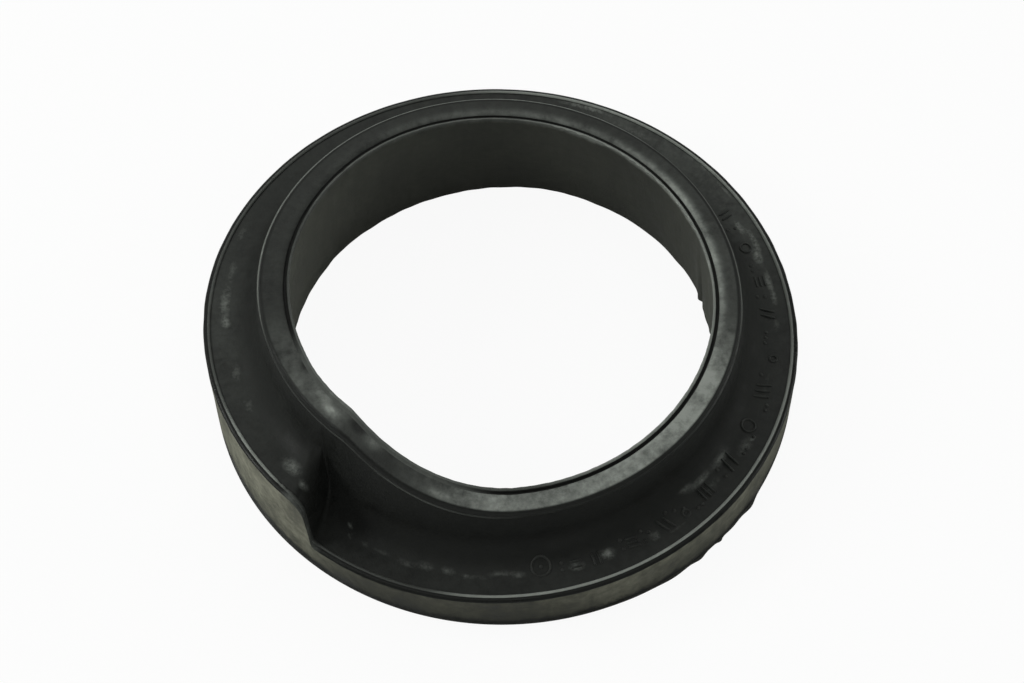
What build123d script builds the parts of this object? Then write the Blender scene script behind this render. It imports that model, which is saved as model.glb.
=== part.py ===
from build123d import *
from math import acos, atan2, ceil, cos, degrees, hypot, pi, radians, sin, sqrt, tan
import os

# A coil spring insulator: one moulded rubber ring that sits between the end of a coil spring and
# its cup. The base is flat. The spring's last coil lies in a trough that climbs once round the
# ring as a right-handed helix, and the cut end of the wire stands against a step.
# The origin is the centre of the base, +Z is up, and angles run counter-clockwise from +X.
# Lengths are in millimetres and angles in degrees.

# Collar that fills the middle of the spring, across its parting line
collar_diameter = 119.8
collar_over_lip = 15.65
land_width = 4.35
shoulder_radius = 0.9
parting_ledge = 0.2

# Thin crest round the top of the bore, and the groove between it and the collar's land
crest_height = 0.25
crest_width = 0.15
strip_width = 0.85
groove_depth = 0.75
groove_width = 0.15
groove_wall_width = 0.25
land_edge_radius = 0.4

# Trough for the wire, the flat seat beside it, and the thin lip along the seat's outer edge
trough_gap = 1.0
trough_radius = 8.0
seat_width = 4.1
lip_width = 1.0
lip_height = 0.4
edge_width = 1.0
edge_turn = 62.0

# Height of the lip's top, one value for each eighth of a turn round from the step
lip_heights = [12.0, 14.5, 16.0, 16.2, 17.6, 19.8, 23.2, 27.5, 29.7]

# Step that the end of the wire stands against. It lies askew: its outer end is further round the
# ring than its inner end, and the sections beside it turn back to the radial over skew_fade.
step_angle = 229.8
step_steepness = 84.0
step_nose_radius = 4.5
step_foot_radius = 1.6
step_skew = 22.0
skew_fade = 48.0

# Ramp down from the collar's highest point: the angle between the step's foot and its start, and
# the angle that it covers
ramp_delay = 5.3
ramp_length = 36.5

# Base, which the bore widens towards
bore_widening = 2.85
base_edge = 0.8

# Radii worked out from the sizes above
collar_radius = collar_diameter / 2
trough_x = collar_radius + trough_gap + trough_radius
lip_inner = trough_x + seat_width
lip_outer = lip_inner + lip_width
outer_radius = lip_outer + edge_width
shoulder = collar_radius - parting_ledge
land_end = shoulder - shoulder_radius
land_start = land_end - land_width
land_edge = land_start - land_edge_radius
groove_end = land_edge - groove_wall_width
groove_start = groove_end - groove_width
crest_end = groove_start - strip_width
crest_start = crest_end - crest_width
hole_radius = crest_start + bore_widening
coil_rise = lip_heights[-1] - lip_heights[0]
clear = 2.0

# How closely the sections stand along the ring, and the most of it that one surface covers
stretch = 110.0
coil_spacing = 15.0
close_spacing = 6.5
arc_stations = 4


def coil_height(turn):
    """Height of the lip after this share of a turn, as a smooth curve through lip_heights."""
    last = len(lip_heights) - 1
    index = min(int(turn * last), last - 1)
    along = turn * last - index
    before = lip_heights[max(index - 1, 0)]
    start = lip_heights[index]
    end = lip_heights[index + 1]
    after = lip_heights[min(index + 2, last)]
    start_slope = (end - before) / 2
    end_slope = (after - start) / 2
    bend = 3 * (end - start) - 2 * start_slope - end_slope
    twist = 2 * (start - end) + start_slope + end_slope
    return start + along * (start_slope + along * (bend + along * twist))


def step_profile():
    """The step seen from outside: pairs of distance along the ring and drop below its top."""
    tilt = radians(step_steepness)
    turns = [tilt * i / arc_stations for i in range(arc_stations + 1)]
    nose = [(step_nose_radius * sin(a), step_nose_radius * (1 - cos(a))) for a in turns]
    foot = [(step_foot_radius * sin(a), step_foot_radius * (1 - cos(a))) for a in turns]
    nose_run, nose_drop = nose[-1]
    foot_run, foot_drop = foot[-1]
    face_drop = coil_rise - nose_drop - foot_drop
    face_run = face_drop / tan(tilt)
    shares = (1 / 3, 2 / 3)
    face = [(nose_run + face_run * s, nose_drop + face_drop * s) for s in shares]
    run = nose_run + face_run + foot_run
    foot = [(run - along, coil_rise - rise) for along, rise in reversed(foot)]
    middle = nose_run + face_run / 2
    return [(along - middle, drop) for along, drop in nose + face + foot]


step_points = step_profile()
step_start = step_angle + degrees(step_points[0][0] / outer_radius)
step_end = step_angle + degrees(step_points[-1][0] / outer_radius)
ramp_start = step_end + ramp_delay
coil_sweep = 360 - (step_end - step_start)


def skew(angle):
    """How far the section at this angle is turned from the radial: most at the step."""
    away = abs((angle - step_angle + 180) % 360 - 180)
    return step_skew * (1 + cos(pi * min(away / skew_fade, 1))) / 2


def land_height(angle):
    """Height of the collar's land: up the coil to its top, and down the ramp past the step."""
    turn = (angle - step_end) / coil_sweep
    travelled = max(angle - ramp_start, 0)
    left = max(1 - travelled / ramp_length, 0)
    return coil_height(min(max(turn, 0), 1)) + collar_over_lip + coil_rise * left**2


def section(angle, lip):
    """The section that leaves the outer wall at this angle, with its lip at this height.

    It reaches a little beyond the wall, and the drum trims it.
    """
    turned = radians(skew(angle))
    offset = outer_radius * sin(turned)
    land = land_height(angle)
    crest = land + crest_height
    groove = land - groove_depth
    edge = land - land_edge_radius
    wall_top = land - shoulder_radius - parting_ledge
    seat = lip - lip_height
    trough_z = seat + trough_radius
    wall_reach = hypot(collar_radius - trough_x, wall_top - trough_z)
    wall_turn = atan2(wall_top - trough_z, collar_radius - trough_x) + acos(trough_radius / wall_reach)
    foot_turn = radians(270)
    turn = radians(edge_turn)
    edge_radius = edge_width / sin(turn)
    edge_drop = edge_radius * (1 - cos(turn))
    outside = outer_radius + clear

    def at(radius, height):
        """The point of the section's plane that lies this far from the ring's axis."""
        return (sqrt(radius**2 - offset**2), height)

    def on_trough(turn):
        return at(trough_x + trough_radius * cos(turn), trough_z + trough_radius * sin(turn))

    outline = [
        Polyline(
            at(crest_start, crest),
            at(crest_end, crest),
            at(groove_start, groove),
            at(groove_end, groove),
            at(land_edge, edge),
        ),
        RadiusArc(at(land_edge, edge), at(land_start, land), land_edge_radius),
        Line(at(land_start, land), at(land_end, land)),
        RadiusArc(at(land_end, land), at(shoulder, land - shoulder_radius), shoulder_radius),
        Polyline(
            at(shoulder, land - shoulder_radius),
            at(collar_radius, wall_top),
            on_trough(wall_turn),
        ),
        ThreePointArc(
            on_trough(wall_turn),
            on_trough((wall_turn + foot_turn) / 2),
            on_trough(foot_turn),
        ),
        Line(on_trough(foot_turn), at(lip_inner, seat)),
        ThreePointArc(
            at(lip_inner, seat),
            at((lip_inner + lip_outer) / 2, lip),
            at(lip_outer, seat),
        ),
        RadiusArc(at(lip_outer, seat), at(outer_radius, seat - edge_drop), edge_radius),
        Polyline(
            at(outer_radius, seat - edge_drop),
            at(outside, seat - edge_drop - clear * tan(turn)),
            at(outside, 0),
            at(hole_radius + base_edge, 0),
            at(hole_radius, base_edge),
            at(crest_start, crest),
        ),
    ]
    along = radians(angle) + turned
    direction = Vector(cos(along), sin(along), 0)
    across = direction.cross(Vector(0, 0, 1))
    plane = Plane(origin=across * offset, x_dir=direction, z_dir=across)
    return plane * make_face(Curve() + outline)


def coil_section(angle):
    """The section at an angle between the foot of the step and its top."""
    return section(angle, coil_height((angle - step_end) / coil_sweep))


def step_section(along, drop):
    """The section at a distance along the step."""
    return section(step_angle + degrees(along / outer_radius), lip_heights[-1] - drop)


def spread(start, end, spacing):
    """Angles from start to end, evenly spaced by about this much."""
    count = ceil((end - start) / spacing)
    return [start + (end - start) * i / count for i in range(count + 1)]


def drum():
    """A plain drum with the ring's outer wall and lower edge."""
    top = lip_heights[-1] + 2 * collar_over_lip
    outline = Polyline(
        (0, 0),
        (outer_radius - base_edge, 0),
        (outer_radius, base_edge),
        (outer_radius, top),
        (0, top),
        close=True,
    )
    return Rot(0, 0, step_angle) * revolve(Plane.XZ * make_face(outline), Axis.Z)


def ring():
    """The whole ring, a stretch at a time: the step, the ramp past it, and the coil up to the step."""
    past_end = max(ramp_start + ramp_length, step_angle + skew_fade)
    up_start = step_angle + 360 - skew_fade
    breaks = spread(past_end, up_start, stretch)
    stretches = [[step_section(along, drop) for along, drop in step_points]]
    stretches += [[coil_section(angle) for angle in spread(step_end, ramp_start, close_spacing)]]
    stretches += [[coil_section(angle) for angle in spread(ramp_start, past_end, close_spacing)]]
    for start, end in zip(breaks, breaks[1:]):
        stretches += [[coil_section(angle) for angle in spread(start, end, coil_spacing)]]
    stretches += [[coil_section(angle) for angle in spread(up_start, step_start + 360, close_spacing)]]
    wall = drum()
    return Part() + [loft(sections) & wall for sections in stretches]


insulator = ring()
os.makedirs("parts", exist_ok=True)
export_step(insulator, "parts/insulator.step")
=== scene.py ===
from math import acos, cos, pi, radians, sin, tan

import bpy
import numpy as np
from mathutils import Matrix, Vector


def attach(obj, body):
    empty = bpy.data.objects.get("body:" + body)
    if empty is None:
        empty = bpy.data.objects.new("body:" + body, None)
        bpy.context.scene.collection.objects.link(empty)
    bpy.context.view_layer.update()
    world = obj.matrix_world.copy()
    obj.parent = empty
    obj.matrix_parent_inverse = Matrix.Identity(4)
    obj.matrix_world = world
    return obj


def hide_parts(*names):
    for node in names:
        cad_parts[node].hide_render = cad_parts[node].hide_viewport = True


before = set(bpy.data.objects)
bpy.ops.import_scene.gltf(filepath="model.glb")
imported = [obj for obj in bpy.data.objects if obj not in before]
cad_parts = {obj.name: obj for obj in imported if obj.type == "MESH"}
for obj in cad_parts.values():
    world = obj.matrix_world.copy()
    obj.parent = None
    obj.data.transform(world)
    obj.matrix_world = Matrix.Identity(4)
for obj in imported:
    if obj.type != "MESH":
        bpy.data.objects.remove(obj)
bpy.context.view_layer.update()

# The ring is dressed as one dense mesh with the imported solid's own section, plus what a mould and
# handling leave on real rubber: thin flash, uneven skin, nicks, dust and rubbed edges. Painted
# light
# lies in its dust too: painted highlights, sheen and shade. Low marks stand on its seat. Ring sizes
# are in millimetres and degrees, as on a drawing; the mesh is in metres. Angles run
# counter-clockwise from +X.
METRES = 0.001

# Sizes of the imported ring
outer_radius = 75.0
collar_radius = 59.9
collar_over_lip = 15.65
land_width = 4.35
shoulder_radius = 0.9
parting_ledge = 0.2
crest_height = 0.25
crest_width = 0.15
strip_width = 0.85
groove_depth = 0.75
groove_width = 0.15
groove_wall_width = 0.25
land_edge_radius = 0.4
trough_gap = 1.0
trough_radius = 8.0
seat_width = 4.1
lip_width = 1.0
lip_height = 0.4
lip_crown_share = 0.7
edge_width = 1.0
edge_turn = radians(62)
lip_heights = [12.0, 14.5, 16.0, 16.2, 17.6, 19.8, 23.2, 27.5, 29.7]
step_angle = 229.8
step_steepness = radians(84)
step_nose_radius = 4.5
step_foot_radius = 1.6
step_skew = 22.0
skew_fade = 48.0
ramp_delay = 5.3
ramp_length = 36.5
bore_widening = 2.85
base_edge = 0.8

# Radii that follow from them
trough_x = collar_radius + trough_gap + trough_radius
lip_inner = trough_x + seat_width
lip_outer = lip_inner + lip_width
shoulder = collar_radius - parting_ledge
land_end = shoulder - shoulder_radius
land_start = land_end - land_width
land_edge = land_start - land_edge_radius
groove_end = land_edge - groove_wall_width
groove_start = groove_end - groove_width
crest_end = groove_start - strip_width
crest_start = crest_end - crest_width
hole_radius = crest_start + bore_widening
coil_rise = lip_heights[-1] - lip_heights[0]

# Soft forms that only the moulded skin has: the land's crown and its oval inner edge, the bulge of
# the strip beside it, the deeper shoulder on the ramp and the ramp's soft start
land_crown = 0.15
land_edge_width = 1.6
land_edge_drop = 0.65
edge_drop_on_ramp = 0.1
shoulder_turn = radians(81)
strip_bulge = 0.25
deeper_shoulder = 1.0
ramp_rounding = 2.2

# Flash on the crest, the roll below it, and the ragged parting line of the collar
thin_flash = 0.03
thick_flash = 0.22
flash_depth = 0.15
crest_dips = 0.1
mouth_roll = 0.35
ragged_roll = 0.5
parting_rag = 0.08
more_parting_rag = 1.5
parting_lift = 0.8
parting_depth = 0.15

# The bore's mouth isn't quite round, and the lower rims aren't quite even
mouth_inward = 0.65
mouth_outward = 0.25
rim_swelling = 0.5
rim_lump = 0.8
rim_waviness = 0.04
side_draft = 0.25
furthest_rag = 0.5

# Where these come and go round the ring: start, end and fade in degrees
stretches = {
    "mouth_inward": (140, 205, 50),
    "mouth_outward": (216, 236, 16),
    "thick_flash": (20, 75, 20),
    "ragged_roll": (15, 80, 20),
    "no_groove": (205, 262, 20),
    "rim_swelling": (92, 128, 24),
    "rim_lump": (6, 21, 5),
    "deeper_shoulder": (206, 268, 24),
    "parting_flash": (55, 190, 30),
    "clean_parting": (180, 262, 30),
    "high_shade_band": (180, 231, 12),
}

# Random waves: seed, and the fewest and the most waves in a turn of the ring
waves = {
    "flash": (21, 40, 150),
    "crest": (22, 25, 120),
    "rim": (23, 10, 50),
    "roll": (24, 8, 45),
    "skin": (31, 6, 60),
}
waves_in_sum = 24

# How finely the mesh follows the ring
coil_stations = 640
nose_stations = 16
face_stations = 16
foot_stations = 10
sharp_angle = radians(38)

# Points on each longer run of the section, and how many of a run belong to its first surface
points_on = {
    "bore": 22, "strip": 6, "land_edge": 9, "land": 10, "shoulder": 6, "wall": 13, "trough": 16,
    "seat": 6, "lip": 6, "edge": 6, "side": 14,
}
strip_top_points = 4
land_edge_side_points = 3

# Unevenness of each surface, in millimetres
uneven = {
    "bore": 0.07, "crest": 0.03, "land": 0.04, "groove": 0.02, "ledge": 0.02, "parting": 0.02,
    "trough": 0.05, "seat": 0.05, "lip": 0.03, "edge": 0.02, "side": 0.1, "base": 0,
}

# Dust on each surface, from none to 1, with the pale lines of lip and parting partly painted
# highlight, and how dull its skin is
dust_and_light_on = {
    "bore": 0.3, "crest": 0.4, "land": 0.08, "groove": 0, "ledge": 0.02, "parting": 0.4,
    "trough": 0.035, "seat": 0.075, "lip": 0.6, "edge": 0, "side": 0.6, "base": 0,
}
dull = {"bore": 1, "side": 1, "base": 1, "groove": 1, "ledge": 0.6, "land": 0.3}

# From the trough to the seat's edge both change gradually, between these radii
dust_and_light_change = (63, 70)
dullness_change = (64, 71.5)
trough_dullness = 0.9
seat_dullness = 0.45

# The nearly black band of painted shade round the base is this much higher on the wall left of the
# step, in metres
shade_band_rise = 0.0018
bore_warmth = 0.5

# Stretches of a surface with more or less dust and painted light: start, end and fade in degrees,
# then the change. Besides dust, many are painted light: painted highlights and sheen on the near
# and ramp land, the lip, the crest, the far parting line and the far seat; painted light and shade
# on the bore; painted light on the wall left of the step; painted shade on the near wall, trough,
# seat.
dust_and_light_stretches = {
    "crest": [(150, 200, 30, -0.2), (262, 286, 16, -0.1), (286, 436, 20, 0.5)],
    "land": [(258, 346, 20, 0.72), (285, 335, 20, 0.15), (350, 400, 60, 0.08),
             (200, 228, 24, 0.28), (244, 262, 10, 0.12)],
    "bore": [(-25, 30, 40, 0.1), (150, 215, 50, 0.15), (12, 62, 30, -0.1), (70, 110, 50, -0.06)],
    "groove": [(203, 262, 16, 0.36)],
    "trough": [(225, 345, 40, -0.02), (30, 110, 40, 0.05)],
    "seat": [(18, 70, 30, 0.14), (225, 345, 30, -0.02), (165, 200, 30, 0.06)],
    "lip": [(262, 350, 20, 0.5), (20, 90, 30, 0.5), (95, 202, 20, -0.35),
            (204, 221.5, 6, 0.4), (223, 258, 8, -0.4)],
    "parting": [(186, 235, 24, -0.28), (235, 262, 10, -0.15), (262, 350, 20, -0.34),
                (55, 190, 20, 0.35)],
    "edge": [(225, 231, 3, 0.35)],
    "side": [(190, 228, 20, 0.28), (234, 285, 20, -0.28), (292, 345, 30, -0.02)],
}

# Spots of painted light: painted highlights on glossy spots of the seat, trough and lip and on the
# land's inner edge, and spots of painted shade on the land. Each has an angle, a radius, a size
# round the ring and across it, and the painted light it adds
painted_light_spots = [
    (22.0, 54.6, 42.0, 1.2, 0.8),
    (90.0, 54.8, 40.0, 1.5, 0.2),
    (223.7, 56.6, 2.2, 1.1, 1.0),
    (219.0, 55.6, 2.6, 1.4, 0.3),
    (208.7, 54.4, 2.4, 1.0, -0.3),
    (231.1, 54.5, 2.0, 2.0, -0.3),
    (235.3, 55.0, 2.4, 1.6, 0.45),
    (254.3, 57.4, 3.0, 1.0, 0.5),
    (158.6, 71.3, 3.5, 1.0, 0.32),
    (168.5, 69.7, 4.0, 1.3, 0.36),
    (177.0, 69.8, 5.5, 1.5, 0.65),
    (182.1, 69.2, 1.8, 1.0, 0.75),
    (195.0, 68.3, 3.2, 1.3, 0.36),
    (203.6, 68.2, 3.0, 1.3, 0.32),
    (221.2, 68.4, 2.6, 1.5, 0.85),
    (225.8, 69.6, 1.2, 0.8, 1.0),
    (234.0, 65.1, 0.5, 0.4, 0.9),
    (235.2, 67.2, 0.5, 0.7, 0.5),
    (239.0, 67.2, 0.9, 0.6, 0.32),
    (243.0, 67.2, 2.2, 0.5, 0.28),
    (248.7, 67.9, 2.5, 0.7, 0.32),
    (252.9, 67.4, 2.0, 0.9, 0.35),
    (257.7, 67.5, 1.6, 0.9, 0.4),
    (261.5, 68.4, 1.5, 0.5, 0.4),
    (264.5, 68.5, 2.6, 0.4, 0.38),
    (268.6, 67.3, 2.8, 0.6, 0.4),
    (272.2, 67.8, 1.6, 0.7, 0.42),
    (284.2, 68.2, 1.7, 1.0, 0.6),
    (291.1, 67.6, 1.5, 1.1, 0.95),
    (301.6, 68.8, 1.4, 1.2, 0.4),
    (306.3, 70.4, 3.0, 0.6, 0.2),
    (313.1, 64.3, 1.8, 0.5, 0.5),
    (317.1, 65.2, 3.4, 0.6, 0.65),
    (318.2, 68.1, 3.0, 1.3, 0.3),
    (324.0, 65.5, 3.2, 0.8, 0.55),
    (329.7, 68.9, 3.0, 1.4, 0.35),
    (332.2, 69.5, 0.5, 0.4, 1.0),
    (345.0, 68.0, 5.0, 0.8, 0.15),
    (0.5, 69.7, 2.0, 0.8, 0.3),
    (7.1, 70.2, 2.6, 0.8, 0.6),
    (11.4, 70.0, 3.4, 0.8, 0.8),
    (17.8, 69.6, 2.6, 1.1, 1.0),
    (22.0, 70.7, 4.0, 0.8, 0.95),
    (25.8, 69.1, 2.8, 1.0, 0.95),
    (34.9, 72.4, 4.5, 0.6, 0.7),
    (43.4, 72.7, 7.0, 0.7, 0.7),
    (60.0, 70.6, 10.0, 1.4, 0.42),
    (70.5, 72.6, 8.0, 0.9, 0.75),
]

# Rags on the lower rims: angle, length round the ring and how far they stick out, in or out
base_rags = [
    (296, 6, 0.15), (303, 5, 0.4), (309.5, 2.2, 0.55), (315, 1, 0.5), (319, 3, 0.2),
    (324.5, 3, 0.65),
]
hole_rags = [
    (8.2, 1.5, 0.3), (12.5, 2.5, 0.35), (17.8, 0.8, -0.8), (19.6, 0.9, 0.3), (33, 3, 0.2),
    (60, 4, 0.15),
]

# Nicks pressed into the skin: angle, radius, size round the ring and across it, and depth
nicks = [
    (181.5, 71.3, 1.7, 0.8, 0.45),
    (222.4, 73.5, 0.7, 0.6, 0.4),
    (224.2, 73.5, 0.5, 0.6, 0.25),
    (138.5, 53.4, 1.1, 0.7, 0.5),
]
spot_falloff = 1.2

# Marks moulded on the seat: plain rings, pips in short rows and dashes in short rows. A ring has an
# angle, a radius and its own size. A row has an angle and a radius, how many, how far apart round
# the ring and across it, and for dashes their length and how far they turn from the ring's run.
mark_rings = [
    (277.0, 66.5, 2.3), (309.8, 68.6, 0.9), (334.5, 67.2, 1.7), (352.0, 68.8, 0.9),
    (20.5, 67.6, 1.4),
]
mark_pips = [
    (277.0, 66.5, 1, 0, 0), (281.3, 67.4, 2, 0, 1.7), (294.6, 66.9, 2, 0, 2.2),
    (299.4, 67.4, 2, 0, 2.6), (300.9, 67.2, 1, 0, 0), (308.2, 66.4, 3, 2.2, 0.9),
    (313.0, 69.6, 2, 1.6, 0), (321.6, 67.8, 2, 0, 2.4), (328.7, 69.5, 2, 1.4, 0),
    (332.6, 69.5, 1, 0, 0), (340.0, 69.6, 2, 1.5, 0), (347.5, 66.4, 1, 0, 0),
    (357.0, 66.8, 3, 1.6, 0.2), (7.5, 67.0, 2, 0, 2.0), (15.0, 66.8, 2, 1.6, 0),
    (26.0, 66.8, 2, 0, 2.2),
]
mark_dashes = [
    (284.3, 67.6, 2, 0, 1.4, 2.34, 0), (288.6, 67.8, 2, 1.5, 0, 2.6, 90),
    (296.9, 67.6, 3, 0, 1.1, 2.6, 12), (304.9, 67.9, 2, 1.8, 0, 3.64, 70),
    (316.2, 68.0, 3, 1.4, 0, 3.12, 90), (324.8, 67.8, 2, 2.2, 0, 3.9, 100),
    (343.6, 67.6, 3, 1.7, 0, 3.38, 75), (3.2, 67.8, 2, 1.8, 0, 3.38, 105),
    (11.5, 67.8, 3, 0, 1.1, 2.6, 0), (30.0, 67.8, 2, 1.6, 0, 2.86, 80),
]
pip_radius = 0.46
mark_height = 0.3
mark_width = 0.27
mark_dust = 0.1
mark_rub = 0.45
pill_tip = 0.02
pill_rows = 9
pill_columns = 12
mark_ring_rows = 32
mark_ring_columns = 8

# Rubber: the clean skin's colour, the pale colour of dust and painted light on most of it and on
# the wall, and the gloss
clean_skin = (0.0052, 0.0055, 0.005, 1)
cool_dust_and_light = (0.267, 0.279, 0.262, 1)
warm_dust_and_light = (0.27, 0.265, 0.212, 1)
specular_level = 0.2
least_roughness = 0.2
roughness_from = {"clouds": 0.22, "mottle": 0.14, "dust_and_light": 0.65, "matt": 0.25}

# Noise on the skin: how space is stretched for it, its scale, its detail and its roughness. Flow
# and rings follow the ring round; the others lie in plain space.
noises = {
    "clouds": ((1, 1, 1), 75, 4, 0.6),
    "mottle": ((1, 1, 1), 420, 6, 0.7),
    "crumbs": ((1, 1, 1), 800, 5, 0.75),
    "grain": ((1, 1, 1), 2600, 3, 0.6),
    "flow": ((420, 420, 26), 1, 5, 0.6),
    "rings": ((24, 24, 900), 1, 4, 0.55),
}

# Ranges of the noises that go from none to all, for the dust and painted light and for the
# roughness
dust_and_light_range = {"clouds": (0.36, 0.64), "mottle": (0.34, 0.66), "crumbs": (0.38, 0.6)}
rough_range = {"clouds": (0.35, 0.65), "mottle": (0.3, 0.7)}
bore_range = (0.92, 1.0)

# How the noises break up loose dust, painted highlights and rubbed edges
flow_in_dust_and_light = 0.6
dust_and_light_gain = 0.57
bore_evenness = 0.6
side_unevenness = 0.45
even_dust_and_light = 1.3
highlight_in_crumbs = 0.55
highlight_all_over = 0.23
rub_and_highlight_gain = 0.86

# Heights on the wall, in metres: the ragged top of the dark band of painted shade, and the fade
# above it, where the wall grows darker towards the bottom
shade_band_height = (0.0024, 0.0042)
shade_band_raggedness = 0.004
fade_height = (0.002, 0.013)
fade_share = 0.5

# Bumps of the skin from each noise: strength and depth in metres
bumps = {"grain": (0.4, 0.00012), "rings": (0.45, 0.0001), "flow": (0.3, 0.0002)}

# Floor and room: sizes in metres, and how bright the floor looks to the camera
floor_half_size = 3.0
floor_colour = (0.85, 0.85, 0.85, 1)
floor_roughness = 0.9
floor_white = 0.93
room_colour = (0.94, 1, 0.97, 1)
room_strength = 0.06

# Lamps that face the ring: place, width and height in metres, and power in watts
lamp_colour = (0.965, 1, 0.955)
lamps = {
    "overhead": ((0, 0.1, 1.2), 1.2, 1.2, 4),
    "behind": ((0, 0.95, 0.75), 1.6, 0.45, 4),
    "upper_left": ((-0.85, 0.05, 0.6), 0.6, 0.4, 5),
    "right_side": ((0.9, 0.1, 0.4), 0.5, 0.4, 2.5),
    "front": ((0, -1.0, 0.35), 1.6, 0.5, 2.5),
}

# Camera: its height angle and roll, distance and aim, as the photograph was taken
camera_elevation = radians(58.56)
camera_roll = radians(-1.25)
camera_distance = 0.67873
camera_aim = (0.00232, 0.00684, 0)
sensor_width = 36.0
focal_length = 91.41
nearest_seen = 0.01


def smooth(value, low, high):
    """0 below low, 1 above high, and an even blend between them."""
    share = np.clip((value - low) / (high - low), 0, 1)
    return share * share * (3 - 2 * share)


def between(angle, start, end, fade):
    """1 between two angles of the ring and 0 outside them, with soft ends."""
    centre = (start + end) / 2
    away = np.abs((angle - centre + 180) % 360 - 180)
    half = (end - start) / 2
    return 1 - smooth(away, half - fade / 2, half + fade / 2)


def over(angle, name):
    """1 on the stretch of this name and 0 off it."""
    return between(angle, *stretches[name])


def ripples(angle, path, name):
    """Random waves, about -1 to 1, over the angle round the ring and the path across it in mm."""
    seed, slowest, fastest = waves[name]
    dice = np.random.default_rng(seed)
    total = 0
    for _ in range(waves_in_sum):
        around = dice.integers(slowest, fastest + 1)
        across = dice.uniform(-1, 1) * around / outer_radius
        phase = dice.uniform(0, 2 * pi)
        total = total + np.sin(np.radians(angle) * around + path * across + phase)
    return total / (waves_in_sum / 2) ** 0.5


def spot(angle, radius, centre_angle, centre_radius, along, across):
    """A soft round or long spot: 1 at its centre and 0 past its size in millimetres."""
    round_way = np.radians((angle - centre_angle + 180) % 360 - 180) * centre_radius / along
    cross_way = (radius - centre_radius) / across
    return np.exp(-spot_falloff * (round_way**2 + cross_way**2))


def rags(angle, radius, places):
    """How far the rags at these places stick out of a rim of this radius."""
    return sum(far * spot(angle, radius, where, radius, along, 1) for where, along, far in places)


def coil_height(turn):
    """Height of the lip after this share of a turn, as a smooth curve through lip_heights."""
    heights = np.array([lip_heights[0], *lip_heights, lip_heights[-1]])
    last = len(lip_heights) - 1
    index = np.clip((turn * last).astype(int), 0, last - 1)
    along = turn * last - index
    before, start, end, after = (heights[index + i] for i in range(4))
    start_slope = (end - before) / 2
    end_slope = (after - start) / 2
    bend = 3 * (end - start) - 2 * start_slope - end_slope
    twist = 2 * (start - end) + start_slope + end_slope
    return start + along * (start_slope + along * (bend + along * twist))


def step_profile():
    """The step seen from outside: distance along the ring and drop below its top."""
    nose = np.linspace(0, step_steepness, nose_stations + 1)
    foot = np.linspace(step_steepness, 0, foot_stations + 1)
    nose_run = step_nose_radius * np.sin(nose)
    nose_drop = step_nose_radius * (1 - np.cos(nose))
    foot_run = step_foot_radius * np.sin(foot)
    foot_drop = step_foot_radius * (1 - np.cos(foot))
    face_drop = coil_rise - nose_drop[-1] - foot_drop[0]
    face_run = face_drop / tan(step_steepness)
    share = np.linspace(0, 1, face_stations + 2)[1:-1]
    run = nose_run[-1] + face_run + foot_run[0]
    along = np.concatenate([nose_run, nose_run[-1] + face_run * share, run - foot_run])
    drop = np.concatenate([nose_drop, nose_drop[-1] + face_drop * share, coil_rise - foot_drop])
    return along - (nose_run[-1] + face_run / 2), drop


step_along, step_drop = step_profile()
step_angles = step_angle + np.degrees(step_along / outer_radius)
step_end = step_angles[-1]
coil_sweep = 360 - (step_angles[-1] - step_angles[0])


def stations():
    """Angle, lip height and land height of every section: the coil first and then the step."""
    turn = np.linspace(0, 1, coil_stations)
    steps = np.ones(len(step_angles) - 2)
    angle = np.concatenate([step_end + coil_sweep * turn, step_angles[1:-1] + 360])
    lip = np.concatenate([coil_height(turn), lip_heights[-1] - step_drop[1:-1]])
    climbed = np.concatenate([coil_height(turn), lip_heights[-1] * steps])
    past = angle - step_end - ramp_delay
    eased = (past + ramp_rounding) ** 2 / (4 * ramp_rounding)
    travelled = np.where(np.abs(past) < ramp_rounding, eased, np.maximum(past, 0))
    left = np.maximum(1 - travelled / ramp_length, 0)
    land = climbed + collar_over_lip + coil_rise * left**2
    return angle[:, None], lip[:, None], land[:, None]


def seat_height(angle):
    """Height of the flat seat at an angle past the step."""
    return coil_height((np.asarray(angle) - step_end) % 360 / coil_sweep) - lip_height


def line(start, end, count):
    """Points from start towards end, at which the next run begins."""
    share = np.arange(count) / count
    return [a + (b - a) * share for a, b in zip(start, end)]


def arc(centre, radius, start, end, count):
    """Points on an arc from one turn towards another, in radians; two radii make it an oval."""
    turn = start + (end - start) * np.arange(count) / count
    wide, high = radius if isinstance(radius, tuple) else (radius, radius)
    return [centre[0] + wide * np.cos(turn), centre[1] + high * np.sin(turn)]


def split(points, count):
    """A run's first points and the rest of them."""
    return [part[:, :count] for part in points], [part[:, count:] for part in points]


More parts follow.
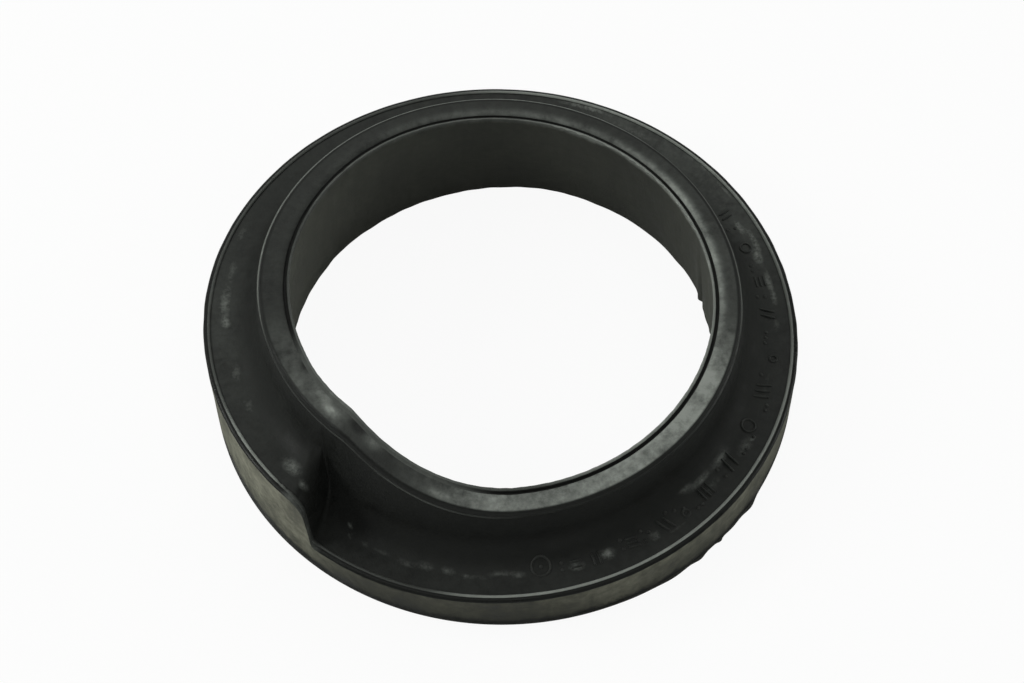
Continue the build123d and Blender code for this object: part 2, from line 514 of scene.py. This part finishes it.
def mouth_runs(angle, land, rim):
    """Up the bore from its rim and over the crest, the strip, the groove and the land's edge."""
    inward = mouth_inward * over(angle, "mouth_inward")
    inward = inward - mouth_outward * over(angle, "mouth_outward")
    ragged = np.clip(ripples(angle, 0, "flash"), 0, 1)
    flash = ragged * (thin_flash + thick_flash * over(angle, "thick_flash"))
    bore_top = crest_start - inward
    crest_in = bore_top - flash
    crest = land + crest_height - crest_dips * np.clip(ripples(angle, 0, "crest"), 0, 1)
    crest_out = crest_end - inward
    ragged = np.clip(0.5 + ripples(angle, 0, "roll"), 0, 1)
    roll = mouth_roll + ragged_roll * ragged * over(angle, "ragged_roll")
    # On the ramp the land runs on to the bore without a groove
    grooved = 1 - over(angle, "no_groove")
    groove = land - groove_depth * grooved
    edge_drop = land_edge_drop * (edge_drop_on_ramp + (1 - edge_drop_on_ramp) * grooved)
    edge = land - edge_drop
    edge_centre = land_edge + land_edge_width - inward
    strip = line((crest_out, crest), (groove_start - inward, groove), points_on["strip"])
    bulge = np.sin(np.linspace(0, pi, points_on["strip"], endpoint=False))
    strip[1] = strip[1] + strip_bulge * grooved * bulge
    strip_top, strip_side = split(strip, strip_top_points)
    oval = (land_edge_width, edge_drop)
    land_arc = arc((edge_centre, edge), oval, pi, pi / 2, points_on["land_edge"])
    arc_side, arc_top = split(land_arc, land_edge_side_points)
    flash_foot = (crest_in, crest - flash_depth)
    # Each run has the name of its surface; a short one holds its start alone
    runs = [
        ("bore", line(rim, (bore_top, crest - roll), points_on["bore"])),
        ("crest", line((bore_top, crest - roll), flash_foot, 1)),
        ("crest", line(flash_foot, (crest_in, crest), 1)),
        ("crest", line((crest_in, crest), (crest_out, crest), 1)),
        ("crest", strip_top),
        ("groove", strip_side),
        ("groove", line((groove_start - inward, groove), (groove_end - inward, groove), 1)),
        ("groove", line((groove_end - inward, groove), (land_edge - inward, edge), 1)),
        ("groove", arc_side),
        ("land", arc_top),
    ]
    return runs, (edge_centre, land)


def collar_runs(angle, land, edge):
    """Along the land from its inner edge and over the shoulder to the parting line."""
    top = line(edge, (land_end, land), points_on["land"])
    top[1] = top[1] - land_crown * np.linspace(0, 1, points_on["land"], endpoint=False) ** 2
    drop = shoulder_radius + deeper_shoulder * over(angle, "deeper_shoulder")
    shoulder_z = land - land_crown - drop
    wall_top = shoulder_z - parting_ledge
    # The parting line stands out as thin flash on the far side
    flashed = over(angle, "parting_flash")
    ragged = 1 - over(angle, "clean_parting") + more_parting_rag * flashed
    parting_z = wall_top + parting_lift * parting_ledge * flashed
    parting = (collar_radius + parting_rag * ragged, parting_z)
    wall_start = (collar_radius, wall_top - parting_depth)
    round_shoulder = (shoulder_radius, drop)
    turned = arc((land_end, shoulder_z), round_shoulder, shoulder_turn, 0, points_on["shoulder"])
    runs = [
        ("land", top),
        ("ledge", turned),
        ("parting", line((shoulder, shoulder_z), parting, 2)),
        ("parting", line(parting, wall_start, 1)),
    ]
    return runs, wall_top, wall_start


def bed_runs(lip, wall_top, wall_start):
    """Down the collar's wall and along the trough, the seat and the lip to the outer edge."""
    seat = lip - lip_height
    trough_z = seat + trough_radius
    reach = np.hypot(collar_radius - trough_x, wall_top - trough_z)
    wall_turn = np.arctan2(wall_top - trough_z, collar_radius - trough_x) % (2 * pi)
    wall_turn = wall_turn + np.arccos(trough_radius / reach)
    on_turn = (
        trough_x + trough_radius * np.cos(wall_turn),
        trough_z + trough_radius * np.sin(wall_turn),
    )
    lip_radius = (lip_width**2 / 4 + lip_height**2) / (2 * lip_height)
    lip_reach = acos(1 - lip_height / lip_radius)
    lip_crown = lip_crown_share * lip_reach
    lip_centre = (lip_inner + lip_outer) / 2, lip - lip_radius
    edge_radius = edge_width / sin(edge_turn)
    edge_centre = lip_outer, seat - edge_radius
    up, down = pi / 2, 3 * pi / 2
    floor_of_trough = arc((trough_x, trough_z), trough_radius, wall_turn, down, points_on["trough"])
    runs = [
        ("trough", line(wall_start, on_turn, points_on["wall"])),
        ("trough", floor_of_trough),
        ("seat", line((trough_x, seat), (lip_inner, seat), points_on["seat"])),
        ("seat", arc(lip_centre, lip_radius, up + lip_reach, up + lip_crown, 2)),
        ("lip", arc(lip_centre, lip_radius, up + lip_crown, up - lip_crown, points_on["lip"])),
        ("edge", arc(lip_centre, lip_radius, up - lip_crown, up - lip_reach, 2)),
        ("edge", arc(edge_centre, edge_radius, up, up - edge_turn, points_on["edge"])),
    ]
    return runs, seat - edge_radius * (1 - cos(edge_turn))


def base_runs(angle, side_top, rim):
    """Down the outer wall, round its ragged rim and across the base to the bore's rim."""
    rim_out = rags(angle, outer_radius, base_rags)
    low_side = outer_radius - side_draft
    foot = (outer_radius - base_edge + rim_out, 0)
    return [
        ("side", line((outer_radius, side_top), (low_side, 2 * base_edge), points_on["side"])),
        ("side", line((low_side, 2 * base_edge), (low_side + rim_out, base_edge), 1)),
        ("base", line((low_side + rim_out, base_edge), foot, 2)),
        ("base", line(foot, (hole_radius + base_edge, 0), 4)),
        ("base", line((hole_radius + base_edge, 0), rim, 1)),
    ]


def sections(angle, lip, land):
    """Radius, height and surface name of every point: a row for each station."""
    rim_in = rim_swelling * over(angle, "rim_swelling") + rim_lump * over(angle, "rim_lump")
    rim_in = rim_in + rim_waviness * ripples(angle, 0, "rim") + rags(angle, hole_radius, hole_rags)
    rim = (hole_radius - rim_in, base_edge)
    runs, edge = mouth_runs(angle, land, rim)
    collar, wall_top, wall_start = collar_runs(angle, land, edge)
    bed, side_top = bed_runs(lip, wall_top, wall_start)
    runs = runs + collar + bed + base_runs(angle, side_top, rim)

    radii, heights, surface = [], [], []
    for name, (radius, height) in runs:
        shape = (len(angle), np.shape(radius)[-1])
        radii.append(np.broadcast_to(radius, shape))
        heights.append(np.broadcast_to(height, shape))
        surface += [name] * shape[1]
    return np.concatenate(radii, axis=1), np.concatenate(heights, axis=1), np.array(surface)


def weathered(angle, radius, height, surface):
    """The same points with the skin's unevenness and nicks, and the path across the section."""
    step_in = np.roll(radius, -1, axis=1) - np.roll(radius, 1, axis=1)
    step_up = np.roll(height, -1, axis=1) - np.roll(height, 1, axis=1)
    length = np.hypot(step_in, step_up)
    path = np.cumsum(length / 2, axis=1)
    depth = np.array([uneven[name] for name in surface])
    amount = depth * (np.minimum(ripples(angle, path, "skin"), 1) - 1) / 2
    top = np.isin(surface, ("seat", "lip", "land", "crest", "edge"))
    for where, centre, along, across, deep in nicks:
        amount = amount - deep * top * spot(angle, radius, where, centre, along, across)
    radius = radius - step_up / length * amount
    height = height + step_in / length * amount
    return np.minimum(radius, outer_radius + furthest_rag), height, path


def skew(angle):
    """How far the section at this angle is turned from the radial: most at the step."""
    away = np.abs((angle - step_angle + 180) % 360 - 180)
    return radians(step_skew) * (1 + np.cos(pi * np.minimum(away / skew_fade, 1))) / 2


def dust_and_light(angle, radius, surface):
    """How much dust and painted light lie on each point, from none to 1, and how much painted
    highlight lies on the seat, trough and lip.
    """
    own = {name: amount + 0 * radius for name, amount in dust_and_light_on.items()}
    for name, changes in dust_and_light_stretches.items():
        for start, end, fade, change in changes:
            own[name] = own[name] + change * between(angle, start, end, fade)
    amount = sum(own[name] * (surface == name) for name in dust_and_light_on)
    bed = np.isin(surface, ("trough", "seat"))
    flatness = smooth(radius, *dust_and_light_change)
    amount = np.where(bed, own["trough"] * (1 - flatness) + own["seat"] * flatness, amount)
    painted_spots = 0 * radius
    for where, centre, along, across, extra in painted_light_spots:
        painted_spots = painted_spots + extra * spot(angle, radius, where, centre, along, across)
    amount = np.clip(amount + painted_spots * (surface == "land"), 0, 1)
    painted_spots = np.clip(painted_spots * np.isin(surface, ("trough", "seat", "lip")), 0, 1)
    return amount, painted_spots


def dullness(radius, surface):
    """How dull the skin is at each point, from none to 1."""
    plain = np.array([dull.get(name, 0) for name in surface])
    change = seat_dullness - trough_dullness
    on_bed = trough_dullness + change * smooth(radius, *dullness_change)
    return np.where(np.isin(surface, ("trough", "seat")), on_bed, plain)


def wrapped_faces(rows, columns):
    """Corner numbers of the faces of a grid that wraps both ways."""
    number = np.arange(rows * columns).reshape(rows, columns)
    ahead = np.roll(number, -1, axis=0)
    corners = [number, np.roll(number, -1, axis=1), np.roll(ahead, -1, axis=1), ahead]
    return np.stack(corners, axis=-1).reshape(-1, 4)


def mesh_object(name, points, faces, material_of_it):
    """A smooth mesh object from points in millimetres."""
    mesh = bpy.data.meshes.new(name)
    mesh.from_pydata((points * METRES).tolist(), [], faces.tolist())
    mesh.shade_smooth()
    mesh.materials.append(material_of_it)
    made = bpy.data.objects.new(name, mesh)
    bpy.context.scene.collection.objects.link(made)
    return made


def store(mesh, name, values):
    """Keep one number for each point, which the material reads by name."""
    kept = mesh.attributes.new(name, "FLOAT", "POINT")
    kept.data.foreach_set("value", np.ascontiguousarray(values, dtype=np.float32).ravel())


def ring_object(material_of_it):
    """The ring as one closed mesh: a grid that wraps round the ring and round its section."""
    angle, lip, land = stations()
    radius, height, surface = sections(angle, lip, land)
    offset = outer_radius * np.sin(skew(angle))
    place = angle + np.degrees(skew(angle) - np.arcsin(offset / radius))
    radius, height, path = weathered(place, radius, height, surface)
    turn = np.radians(place)
    points = np.stack([radius * np.cos(turn), radius * np.sin(turn), height], axis=-1)
    faces = wrapped_faces(*radius.shape)
    ring = mesh_object("moulded_ring", points.reshape(-1, 3), faces, material_of_it)
    mesh = ring.data
    mesh.set_sharp_from_angle(angle=sharp_angle)

    every_point = np.ones(radius.shape)
    for name, values in zip(("dust_and_light", "painted_highlight"), dust_and_light(place, radius, surface)):
        store(mesh, name, values)
    # Rubbed edges of crest, lip and parting line: paler from wear, and on the lip partly a painted
    # highlight
    store(mesh, "rub_and_highlight", every_point * np.isin(surface, ("crest", "lip", "parting")))
    store(mesh, "side", every_point * (surface == "side"))
    store(mesh, "warm", every_point * ((surface == "side") + bore_warmth * (surface == "bore")))
    # How much higher the band of painted shade round the base stands left of the step
    store(mesh, "rim", shade_band_rise * over(place, "high_shade_band"))
    store(mesh, "matt", dullness(radius, surface))
    polar = mesh.attributes.new("polar", "FLOAT_VECTOR", "POINT")
    flat = np.stack([outer_radius * np.cos(turn), outer_radius * np.sin(turn), path], axis=-1)
    flat = np.ascontiguousarray(flat * METRES, dtype=np.float32)
    polar.data.foreach_set("vector", flat.ravel())
    return ring


def resting_on_seat(angle, radius, along, across, up):
    """Points given along the ring, across it and up from the seat or trough under them."""
    turn = np.radians(angle) + along / radius
    reach = radius + across
    into_trough = np.maximum(trough_x - reach, 0)
    rise = trough_radius - np.sqrt(trough_radius**2 - into_trough**2)
    bed = seat_height(np.degrees(turn)) + rise
    return np.stack([reach * np.cos(turn), reach * np.sin(turn), bed + up], axis=-1)


def pill(length, width, heading):
    """A low half-sunk pill: a grid of points along, across and up, from end to end."""
    turn = np.linspace(0, 2 * pi, pill_columns, endpoint=False)[None, :]
    lift = np.linspace(0, pi, pill_rows)[:, None]
    out = np.sin(lift) + pill_tip
    end = np.where(lift < pi / 2, -1, 1) * length / 2
    along = -np.cos(lift) * width + end + 0 * turn
    across = out * np.cos(turn) * width
    up = out * np.sin(turn) * mark_height
    turned_along = along * cos(heading) - across * sin(heading)
    turned_across = along * sin(heading) + across * cos(heading)
    return turned_along, turned_across, up


def plain_ring(size):
    """A low half-sunk ring: a grid of points along, across and up."""
    round_way = np.linspace(0, 2 * pi, mark_ring_rows, endpoint=False)[:, None]
    turn = np.linspace(0, 2 * pi, mark_ring_columns, endpoint=False)[None, :]
    reach = size + mark_width * np.cos(turn)
    up = mark_height * np.sin(turn) + 0 * round_way
    return reach * np.cos(round_way), reach * np.sin(round_way), up


def in_row(angle, radius, count, apart, beside, shape):
    """The same shape in a row: an angle, a radius and the shape for each."""
    places = [i - (count - 1) / 2 for i in range(count)]
    return [(angle + np.degrees(i * apart / radius), radius + i * beside, shape) for i in places]


def seat_marks(material_of_it):
    """All the marks as one mesh of closed pieces."""
    pieces = [(angle, radius, plain_ring(size)) for angle, radius, size in mark_rings]
    for row in mark_pips:
        pieces += in_row(*row, pill(0, pip_radius, 0))
    for *row, length, heading in mark_dashes:
        pieces += in_row(*row, pill(length, mark_width, radians(heading)))
    outward = [0, 3, 2, 1]
    points, faces, first = [], [], 0
    for angle, radius, (along, across, up) in pieces:
        placed = resting_on_seat(angle, radius, along, across, up)
        rows, columns = placed.shape[:2]
        points.append(placed.reshape(-1, 3))
        faces.append(first + wrapped_faces(rows, columns)[:, outward])
        first += rows * columns
    name = "seat_marks"
    marks = mesh_object(name, np.concatenate(points), np.concatenate(faces), material_of_it)
    store(marks.data, "dust_and_light", np.full(first, mark_dust))
    store(marks.data, "rub_and_highlight", np.full(first, mark_rub))
    return marks


def add_node(tree, kind, settings=None, **inputs):
    """A shader node with its settings, and its inputs set to a value or linked to a socket."""
    node = tree.nodes.new("ShaderNode" + kind)
    for name, value in (settings or {}).items():
        setattr(node, name, value)
    for name, value in inputs.items():
        key = int(name[1:]) if name[1:].isdigit() else name.replace("_", " ")
        if isinstance(value, bpy.types.NodeSocket):
            tree.links.new(value, node.inputs[key])
        else:
            node.inputs[key].default_value = value
    return node


def number_from(tree, operation, first, second, clamp=False):
    """The result of a sum on two numbers or sockets."""
    settings = {"operation": operation, "use_clamp": clamp}
    return add_node(tree, "Math", settings, i0=first, i1=second).outputs[0]


def plus(tree, first, second):
    """The first and the second added."""
    return number_from(tree, "ADD", first, second)


def minus(tree, first, second):
    """The second taken from the first."""
    return number_from(tree, "SUBTRACT", first, second)


def times(tree, first, second):
    """The first multiplied by the second."""
    return number_from(tree, "MULTIPLY", first, second)


def share_between(tree, value, low, high):
    """0 to 1 as the value goes from low to high."""
    return add_node(tree, "MapRange", Value=value, From_Min=low, From_Max=high).outputs[0]


def mixed_colour(tree, share, first, second):
    """The first colour at a share of 0, the second at 1."""
    mix = add_node(tree, "Mix", {"data_type": "RGBA"})
    for socket, value in zip((mix.inputs[0], mix.inputs[6], mix.inputs[7]), (share, first, second)):
        if isinstance(value, bpy.types.NodeSocket):
            tree.links.new(value, socket)
        else:
            socket.default_value = value
    return mix.outputs[2]


def skin_noise(tree, vector, stretch, scale, detail, roughness):
    """Noise over a stretched space, centred on a half."""
    moved = add_node(tree, "Mapping", Vector=vector, Scale=stretch).outputs[0]
    amounts = {"Scale": scale, "Detail": detail, "Roughness": roughness}
    return add_node(tree, "TexNoise", Vector=moved, **amounts).outputs[0]


def dust_and_light_from(tree, read, noise):
    """Dust and painted light on each point: loose dust broken up by the noises, painted highlights,
    or a rubbed edge, which on the lip is partly a painted highlight.
    """
    parts = {name: share_between(tree, noise[name], *ends) for name, ends in dust_and_light_range.items()}
    loose = plus(tree, parts["clouds"], parts["mottle"])
    loose = plus(tree, loose, times(tree, noise["flow"], flow_in_dust_and_light))
    even = times(tree, share_between(tree, read["matt"], *bore_range), bore_evenness)
    even = minus(tree, even, times(tree, read["side"], side_unevenness))
    loose = plus(tree, times(tree, loose, minus(tree, 1.0, even)), times(tree, even, even_dust_and_light))
    loose = times(tree, loose, dust_and_light_gain)
    dusting_and_light = number_from(tree, "MULTIPLY", read["dust_and_light"], loose, clamp=True)
    broken = plus(tree, times(tree, parts["crumbs"], highlight_in_crumbs), highlight_all_over)
    painted_spots = times(tree, read["painted_highlight"], broken)
    rubbed_and_highlighted = times(tree, times(tree, read["rub_and_highlight"], read["dust_and_light"]), rub_and_highlight_gain)
    dusting_and_light = number_from(tree, "MAXIMUM", dusting_and_light, painted_spots)
    return number_from(tree, "MAXIMUM", dusting_and_light, rubbed_and_highlighted)


def wall_share(tree, read, noise, place):
    """The share of dust and painted light that stays: the wall grows darker towards the bottom,
    into a nearly black band of painted shade round its base.
    """
    height = add_node(tree, "SeparateXYZ", Vector=place).outputs["Z"]
    ragged = times(tree, minus(tree, noise["mottle"], 0.5), shade_band_raggedness)
    lowered = minus(tree, height, read["rim"])
    shade_band = share_between(tree, plus(tree, lowered, ragged), *shade_band_height)
    fade = times(tree, share_between(tree, height, *fade_height), fade_share)
    share = times(tree, shade_band, plus(tree, fade, 1 - fade_share))
    return plus(tree, times(tree, share, read["side"]), minus(tree, 1.0, read["side"]))


def roughness_of(tree, read, noise, dusting_and_light):
    """Roughness of the skin: least where it is clean and satin."""
    parts = {name: share_between(tree, noise[name], *ends) for name, ends in rough_range.items()}
    parts |= {"dust_and_light": dusting_and_light, "matt": read["matt"]}
    rough = least_roughness
    for name, part in parts.items():
        rough = plus(tree, rough, times(tree, part, roughness_from[name]))
    return number_from(tree, "MINIMUM", rough, 1.0)


def rubber():
    """Black moulded rubber: satin where it is clean, paler and matt where dust and painted light
    lie on it.
    """
    made = bpy.data.materials.new("moulded_rubber")
    made.use_nodes = True
    tree = made.node_tree
    shader = tree.nodes["Principled BSDF"]
    shader.inputs["Specular IOR Level"].default_value = specular_level
    place = add_node(tree, "TexCoord").outputs["Object"]
    polar = add_node(tree, "Attribute", {"attribute_name": "polar"}).outputs["Vector"]
    stored = ("dust_and_light", "painted_highlight", "rub_and_highlight", "side", "warm", "rim", "matt")
    read = {name: add_node(tree, "Attribute", {"attribute_name": name}).outputs["Fac"]
            for name in stored}
    noise = {name: skin_noise(tree, polar if name in ("flow", "rings") else place, *values)
             for name, values in noises.items()}

    dusting_and_light = dust_and_light_from(tree, read, noise)
    dusting_and_light = times(tree, dusting_and_light, wall_share(tree, read, noise, place))
    dust_and_light_colour = mixed_colour(tree, read["warm"], cool_dust_and_light, warm_dust_and_light)
    colour = mixed_colour(tree, dusting_and_light, clean_skin, dust_and_light_colour)
    tree.links.new(colour, shader.inputs["Base Color"])
    rough = roughness_of(tree, read, noise, dusting_and_light)
    tree.links.new(rough, shader.inputs["Roughness"])

    below = {}
    for name, (strength, depth) in bumps.items():
        amounts = {"Strength": strength, "Distance": depth}
        bump = add_node(tree, "Bump", Height=noise[name], **amounts, **below)
        below = {"Normal": bump.outputs[0]}
    tree.links.new(below["Normal"], shader.inputs["Normal"])
    return made


def camera_ray(tree):
    """1 for what the camera sees and 0 for all other rays."""
    return tree.nodes.new("ShaderNodeLightPath").outputs["Is Camera Ray"]


def mixed_shader(tree, share, plain, white, output):
    """The plain shader at a share of 0 and the white one at 1, as the tree's surface."""
    mix = tree.nodes.new("ShaderNodeMixShader")
    tree.links.new(share, mix.inputs[0])
    tree.links.new(plain.outputs[0], mix.inputs[1])
    tree.links.new(white.outputs[0], mix.inputs[2])
    tree.links.new(mix.outputs[0], tree.nodes[output].inputs["Surface"])


def floor():
    """A wide pale floor that keeps a faint shadow and is white to the camera."""
    half = floor_half_size
    mesh = bpy.data.meshes.new("floor")
    corners = [(-half, -half, 0), (half, -half, 0), (half, half, 0), (-half, half, 0)]
    mesh.from_pydata(corners, [], [(0, 1, 2, 3)])
    made = bpy.data.materials.new("floor_paper")
    made.use_nodes = True
    tree = made.node_tree
    paper = tree.nodes["Principled BSDF"]
    paper.inputs["Base Color"].default_value = floor_colour
    paper.inputs["Roughness"].default_value = floor_roughness
    glow = tree.nodes.new("ShaderNodeEmission")
    share = times(tree, camera_ray(tree), floor_white)
    mixed_shader(tree, share, paper, glow, "Material Output")
    mesh.materials.append(made)
    ground = bpy.data.objects.new("floor", mesh)
    bpy.context.scene.collection.objects.link(ground)


def room():
    """A pale room: white to the camera, and a soft even light to everything else."""
    world = bpy.data.worlds.new("room")
    world.use_nodes = True
    tree = world.node_tree
    white = tree.nodes["Background"]
    white.inputs["Color"].default_value = (1, 1, 1, 1)
    dim = tree.nodes.new("ShaderNodeBackground")
    dim.inputs["Color"].default_value = room_colour
    dim.inputs["Strength"].default_value = room_strength
    mixed_shader(tree, camera_ray(tree), dim, white, "World Output")
    bpy.context.scene.world = world


def softbox(name, place, width, height, power):
    """A soft rectangular lamp that faces the ring."""
    lamp = bpy.data.lights.new(name, "AREA")
    lamp.shape = "RECTANGLE"
    lamp.size = width
    lamp.size_y = height
    lamp.energy = power
    lamp.color = lamp_colour
    holder = bpy.data.objects.new(name, lamp)
    holder.location = place
    facing = Vector((0, 0, 0)) - Vector(place)
    holder.rotation_euler = facing.to_track_quat("-Z", "Y").to_euler()
    bpy.context.scene.collection.objects.link(holder)


def camera():
    """The camera, from the photograph's side."""
    back = Vector((0, -cos(camera_elevation), sin(camera_elevation)))
    right = Vector((1, 0, 0))
    up = back.cross(right)
    side = right * cos(camera_roll) + up * sin(camera_roll)
    top = up * cos(camera_roll) - right * sin(camera_roll)
    place = Vector(camera_aim) + back * camera_distance
    lens = bpy.data.cameras.new("camera")
    lens.sensor_width = sensor_width
    lens.lens = focal_length
    lens.clip_start = nearest_seen
    holder = bpy.data.objects.new("camera", lens)
    axes = Matrix((side, top, back)).transposed().to_4x4()
    holder.matrix_world = Matrix.Translation(place) @ axes
    bpy.context.scene.collection.objects.link(holder)
    bpy.context.scene.camera = holder


skin = rubber()
ring = ring_object(skin)
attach(ring, "root")
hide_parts("insulator")
marks = seat_marks(skin)
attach(marks, "root")
floor()
room()
for name, lamp in lamps.items():
    softbox(name, *lamp)
camera()
bpy.context.scene.view_settings.view_transform = "Standard"
